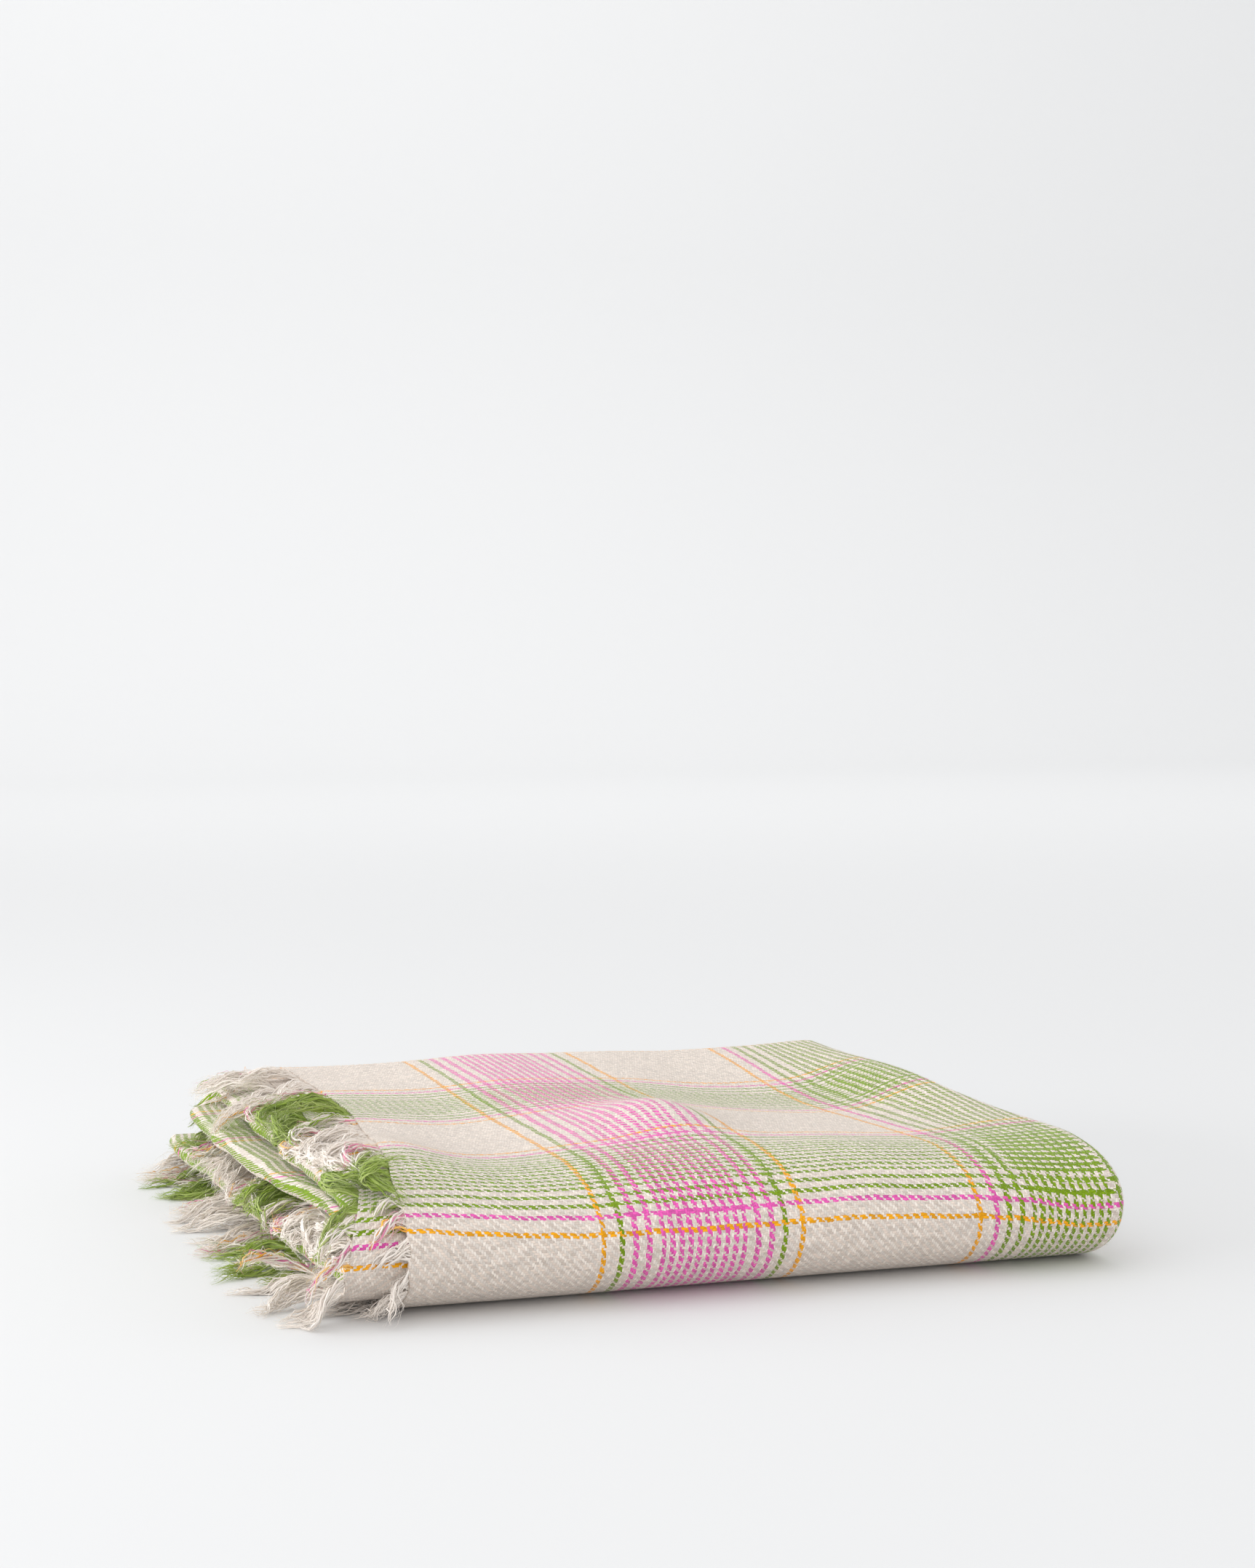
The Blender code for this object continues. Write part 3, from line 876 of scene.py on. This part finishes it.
def make_fringes(stripes):
    """Tassels at both woven ends of every panel, and round the front fold."""
    yarn = fringe_material(stripes)
    tree = tassel_tree()
    last = len(S_STOPS) - 1
    over_top = ledge("top", S_THIRD, ((-0.12, -0.002), (0.02, 0.008), (0.10, 0.030)))
    over_bottom = ledge("bottom", S_RIDGE, ((-0.12, 0.003), (0.12, 0.016)))
    plans = (
        ("lower_fringe", [(0, "bottom", on_floor), (last, "bottom", on_floor)], -0.10, 0.0, 0.052, 11),
        ("top_fringe", [(0, "top", over_top), (last, "top", over_top)], -0.42, 0.12, 0.056, 12),
        ("tucked_fringe", [
            (0, "back", on_floor), (last, "back", on_floor),
            (0, "middle", over_bottom), (last, "middle", over_bottom),
        ], -0.16, 0.05, 0.046, 13),
        ("front_turn_fringe_outer", [(0, "front", on_floor)], -0.30, -0.10, 0.026, 14),
        ("front_turn_fringe_inner", [(last, "front", on_floor)], -0.30, -0.10, 0.036, 15),
    )
    made = {}
    for name, rows, lean_y, lean_z, length, seed in plans:
        guides = make_guides(name + "_guides", rows, lean_y, lean_z, length, seed)
        fringe = grown(
            guides, tree, name, Strands=STRANDS, Strand_Radius=0.00062, Bundle_Radius=0.0034,
            Crimp=0.0115, Fibres=18, Fibre_Radius=0.00013, Fibre_Spread=0.0044, Yarn_Spacing=YARN,
            Floor=0.0007, Ceiling=HEIGHT + 0.0105, Seed=seed, Material=yarn,
        )
        bpy.data.objects.remove(guides)
        made[name] = fringe
    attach(made["lower_fringe"], LOWER)
    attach(made["top_fringe"], UPPER)
    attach(made["tucked_fringe"], UPPER)
    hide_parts("bottom_outer_fringe", "bottom_inner_fringe")
    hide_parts("top_outer_fringe", "top_inner_fringe")
    tucked = (f"{panel}_{row}" for panel in ("back_fold", "middle") for row in ("outer", "inner"))
    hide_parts(*(f"{row}_fringe" for row in tucked))
    for row, depth in (("outer", 0.5), ("inner", 1.5)):
        blend_round_fold(made[f"front_turn_fringe_{row}"])
        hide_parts(f"front_fold_{row}_fringe")
    return made


def blend_round_fold(piece):
    """Bake the placement of a piece of the front fold into its mesh; it is attached to neither body."""
    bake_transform(piece)


# ---------------------------------------------------------------- nap
NAP_DENSITY = 170000.0  # hairs to a square metre
NAP_LENGTH = 0.0024  # of the longest on the open face
NAP_WIDTH = 0.00005


def nap_tree():
    """Short fine hairs that stand out of brushed cloth at all angles."""
    tree, g, given, result = growth_tree("nap", [
        ("Density", FLOAT), ("Length", FLOAT), ("Width", FLOAT), ("Lean", FLOAT),
        ("Seed", "NodeSocketInt"), ("Material", "NodeSocketMaterial"),
    ])
    scattered = g.node("GeometryNodeDistributePointsOnFaces")
    g.put(scattered.inputs["Mesh"], given["Geometry"])
    g.put(scattered.inputs["Selection"], g.math("GREATER_THAN", g.named("seen"), 0.5))
    g.put(scattered.inputs["Density"], given["Density"])
    g.put(scattered.inputs["Seed"], given["Seed"])
    number = g.node("GeometryNodeInputIndex").outputs[0]
    lean = [g.math("MULTIPLY", g.random(number, 3 + k, -1.0, 1.0), given["Lean"]) for k in range(3)]
    way = g.vectors("ADD", scattered.outputs["Normal"], g.vector(*lean))
    turned = g.node("FunctionNodeAlignRotationToVector", axis="Z")
    g.put(turned.inputs["Vector"], way)
    hair = g.node("GeometryNodeMeshCone")
    hair.inputs["Vertices"].default_value = 3
    hair.inputs["Radius Top"].default_value = 0.0
    hair.inputs["Radius Bottom"].default_value = 1.0
    hair.inputs["Depth"].default_value = 1.0
    placed = g.node("GeometryNodeInstanceOnPoints")
    g.put(placed.inputs["Points"], scattered.outputs["Points"])
    g.put(placed.inputs["Instance"], hair.outputs[0])
    g.put(placed.inputs["Rotation"], turned.outputs[0])
    tall = g.math("MULTIPLY", g.random(number, 7, 0.35, 1.0), given["Length"])
    tall = g.math("MULTIPLY", tall, g.named("seen"))
    g.put(placed.inputs["Scale"], g.vector(given["Width"], given["Width"], tall))
    finish_tree(g, placed.outputs[0], given["Material"], result["Geometry"])
    return tree


def nap_material():
    material, g, shader = plain_material("brushed_nap")
    shader["Base Color"].default_value = (0.90, 0.82, 0.74, 1.0)
    wool_finish(shader)
    return material


def mark_seen(cloth):
    """Mark the faces of the sheet that lie on the outside of the pack, where nap shows, by how
    long it is: it is longest beside the woven end."""
    mesh = cloth.data
    seen = []
    for face in mesh.polygons:
        place, normal = face.center, face.normal
        over = place.z > HEIGHT - PLY * 0.75 - 0.012 and normal.z > 0.3 and place.y > HINGE_Y
        in_front = normal.y < -0.25 and place.y < HINGE_Y and place.z > 0.008
        behind = normal.x > 0.3 and place.x > HAIRPIN_X
        longer = 1.0 + 2.4 * float(1 - ramp(place.x, LEFT_X, LEFT_X + 0.05))
        seen.append(longer if over or in_front or behind else 0.0)
    mesh.attributes.new("seen", "FLOAT", "FACE").data.foreach_set("value", seen)


def brushed(cloth, tree, material):
    """The nap on the part of the cloth that shows."""
    mark_seen(cloth)
    nap = grown(
        cloth, tree, cloth.name + "_nap", Density=NAP_DENSITY, Length=NAP_LENGTH,
        Width=NAP_WIDTH, Lean=0.9, Seed=21, Material=material,
    )
    cloth.data.attributes.remove(cloth.data.attributes["seen"])
    return nap


# ---------------------------------------------------------------- floor, light and camera
def make_stage():
    """A pale seamless sweep: a floor that curves up into a wall far behind the throw."""
    sweep_radius, width, front, back, top = 1.5, 12.0, -4.0, 5.0, 5.0
    outline = [(front, 0.0), (back, 0.0)]
    outline += [
        (back + sweep_radius * math.sin(a), sweep_radius * (1 - math.cos(a)))
        for a in np.linspace(0, math.pi / 2, 16)[1:]
    ]
    outline.append((back + sweep_radius, top))
    points = [(x, y, z) for y, z in outline for x in (-width / 2, width / 2)]
    faces = [(2 * k, 2 * k + 1, 2 * k + 3, 2 * k + 2) for k in range(len(outline) - 1)]
    mesh = bpy.data.meshes.new("studio_sweep")
    mesh.from_pydata(points, [], faces)
    mesh.shade_smooth()
    floor = bpy.data.objects.new("studio_sweep", mesh)
    bpy.context.scene.collection.objects.link(floor)
    material, g, shader = plain_material("studio_paper")
    shader["Base Color"].default_value = (0.785, 0.787, 0.787, 1.0)
    shader["Roughness"].default_value = 0.9
    shader["Specular IOR Level"].default_value = 0.1
    mesh.materials.append(material)


def area_light(name, place, target, size, power):
    light = bpy.data.lights.new(name, "AREA")
    light.shape = "RECTANGLE"
    light.size, light.size_y = size
    light.energy = power
    obj = bpy.data.objects.new(name, light)
    obj.location = place
    obj.rotation_euler = (Vector(target) - Vector(place)).to_track_quat("-Z", "Y").to_euler()
    bpy.context.scene.collection.objects.link(obj)


def make_light():
    world = bpy.data.worlds.new("studio_air")
    world.use_nodes = True
    background = world.node_tree.nodes["Background"].inputs
    background["Color"].default_value = (0.985, 0.99, 1.0, 1.0)
    background["Strength"].default_value = 0.98
    bpy.context.scene.world = world
    area_light("overhead_softbox", (-0.5, 0.3, 2.2), (0.0, 0.0, 0.0), (2.2, 2.2), 6.0)
    area_light("side_window", (-2.0, 0.1, 0.42), (-0.2, 0.0, 0.03), (2.0, 0.6), 22.0)
    area_light("wall_wash", (0.5, 3.2, 3.6), (1.0, 6.5, 1.2), (5.0, 1.0), 44.0)
    bpy.context.scene.view_settings.view_transform = "Standard"


def make_camera():
    """Standing in front of the fringed end's side, looking a little down on the pack."""
    lens = bpy.data.cameras.new("camera")
    lens.sensor_width = 36.0
    lens.lens = 63.1
    obj = bpy.data.objects.new("camera", lens)
    obj.location = (-0.5040, -1.5475, 0.3449)
    turn, tilt = 0.3268, 0.0536
    obj.rotation_euler = (math.pi / 2 - tilt, 0.0, -turn)
    bpy.context.scene.collection.objects.link(obj)
    bpy.context.scene.camera = obj


# ---------------------------------------------------------------- the throw
def make_throw():
    """The sheet in six pieces, cut where the front fold bends as the throw is opened."""
    stripes = stripes_group()
    wool = cloth_material(weave_group(stripes))
    fringes = make_fringes(stripes)
    lower = make_cloth("lower_cloth", 0.0, CLOTH_LENGTH, "bottom", "bottom")
    upper = make_cloth("upper_cloth", 0.0, CLOTH_LENGTH, "top", "middle")
    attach(lower, LOWER)
    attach(upper, UPPER)
    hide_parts("bottom_outer_ply", "bottom_inner_ply", "bottom_ridge_ply")
    panels = ("top", "back_fold", "middle")
    plies = ("outer", "inner", "ridge")
    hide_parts(*(f"{panel}_{ply}_ply" for panel in panels for ply in plies))
    upper_width = panel_length("top") + math.pi * (BACK_R - 2 * PLY) + panel_length("middle")
    cloths = [(lower, CLOTH_LENGTH, panel_length("bottom")), (upper, CLOTH_LENGTH, upper_width)]
    cuts = (0.0, *S_CUTS, CLOTH_LENGTH)
    names = ("first", "second", "third", "fourth")
    depths = (0.5, 3.5, 2.5, 1.5)  # of each quarter, in plies
    for name, depth, start, end in zip(names, depths, cuts, cuts[1:]):
        turn = make_cloth(f"front_turn_{name}", start, end, "front", "front")
        blend_round_fold(turn)
        cloths.append((turn, end - start, math.pi * (FRONT_R - depth * PLY)))
    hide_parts("front_fold_outer_ply")
    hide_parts("front_fold_ridge_ply")
    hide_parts("front_fold_inner_ply")
    edging = {
        "lower_cloth": ["lower_fringe"],
        "upper_cloth": ["top_fringe", "tucked_fringe"],
        "front_turn_first": ["front_turn_fringe_outer"],
        "front_turn_fourth": ["front_turn_fringe_inner"],
    }
    tree, hair = nap_tree(), nap_material()
    for cloth, length, width in cloths:
        with_it = [fringes[name] for name in edging.get(cloth.name, [])]
        if cloth.name in ("upper_cloth", "front_turn_first"):
            nap = brushed(cloth, tree, hair)
            if cloth is upper:
                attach(nap, UPPER)
            else:
                blend_round_fold(nap)
            with_it.append(nap)
        cloth.data.materials.append(wool)


make_camera()
make_light()
make_stage()
make_throw()
